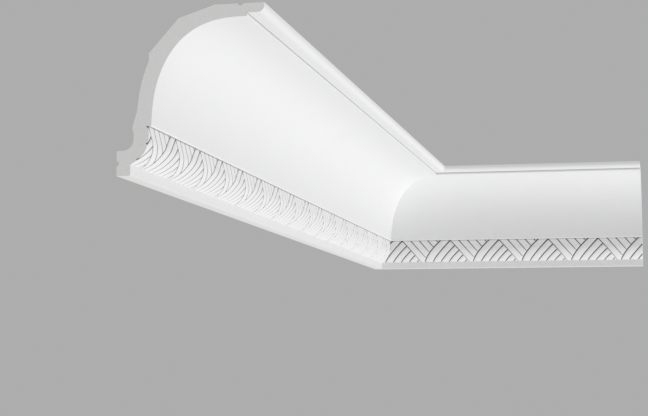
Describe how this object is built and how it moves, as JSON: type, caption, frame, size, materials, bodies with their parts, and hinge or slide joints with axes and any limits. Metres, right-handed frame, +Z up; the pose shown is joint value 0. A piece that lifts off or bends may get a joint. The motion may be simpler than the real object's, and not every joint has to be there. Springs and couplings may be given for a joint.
{
  "type": "coved cornice moulding corner",
  "caption": "Coved cornice moulding with a woven-strip band, a long and a short length mitred together at an inside corner, fixed where the walls meet the ceiling.",
  "frame": {"origin": "the room corner: where the side wall, the back wall and the ceiling meet", "axes": "+X along the back wall away from the corner, -Y along the side wall away from the corner, +Z up into the ceiling"},
  "size_m": [0.344, 0.993, 0.12],
  "materials": {
    "painted_foam": "matt white paint on rigid polyurethane foam"
  },
  "bodies": {
    "root": {"side_moulding": "painted_foam", "back_moulding": "painted_foam"}
  },
  "joints": []
}
